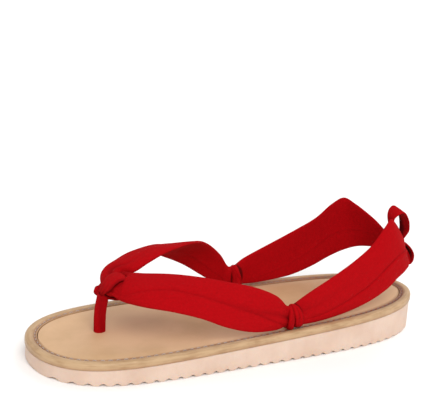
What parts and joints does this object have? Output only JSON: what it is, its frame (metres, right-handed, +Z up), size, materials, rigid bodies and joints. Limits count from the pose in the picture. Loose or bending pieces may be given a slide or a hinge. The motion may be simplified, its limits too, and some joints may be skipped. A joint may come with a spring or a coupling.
{
  "type": "thong sandal",
  "caption": "Left foot thong sandal: ribbed foam wedge sole with a bound, stitched footbed, cloth thong with a toe post, side knots and a heel strap tied in a bow.",
  "frame": {"origin": "on the floor, under the middle of the sole's length and width", "axes": "+X along the sole to the toe, +Y to the outer side of the foot, +Z up from the floor"},
  "size_m": [0.2523, 0.0882, 0.0744],
  "materials": {
    "peach_foam": "matte cut foam",
    "tan_binding": "smooth satin",
    "tan_footbed": "fine grain satin",
    "red_cotton": "matte plain weave"
  },
  "bodies": {
    "root": {"outsole": "peach_foam", "footbed_rim": "tan_binding", "insole": "tan_footbed", "toe_post": "red_cotton", "front_straps": "red_cotton", "side_knot_lateral": "red_cotton", "side_knot_medial": "red_cotton", "heel_strap_lateral": "red_cotton", "heel_strap_medial": "red_cotton", "bow_knot": "red_cotton", "bow_loop_upper": "red_cotton", "bow_loop_lower": "red_cotton"}
  },
  "joints": []
}
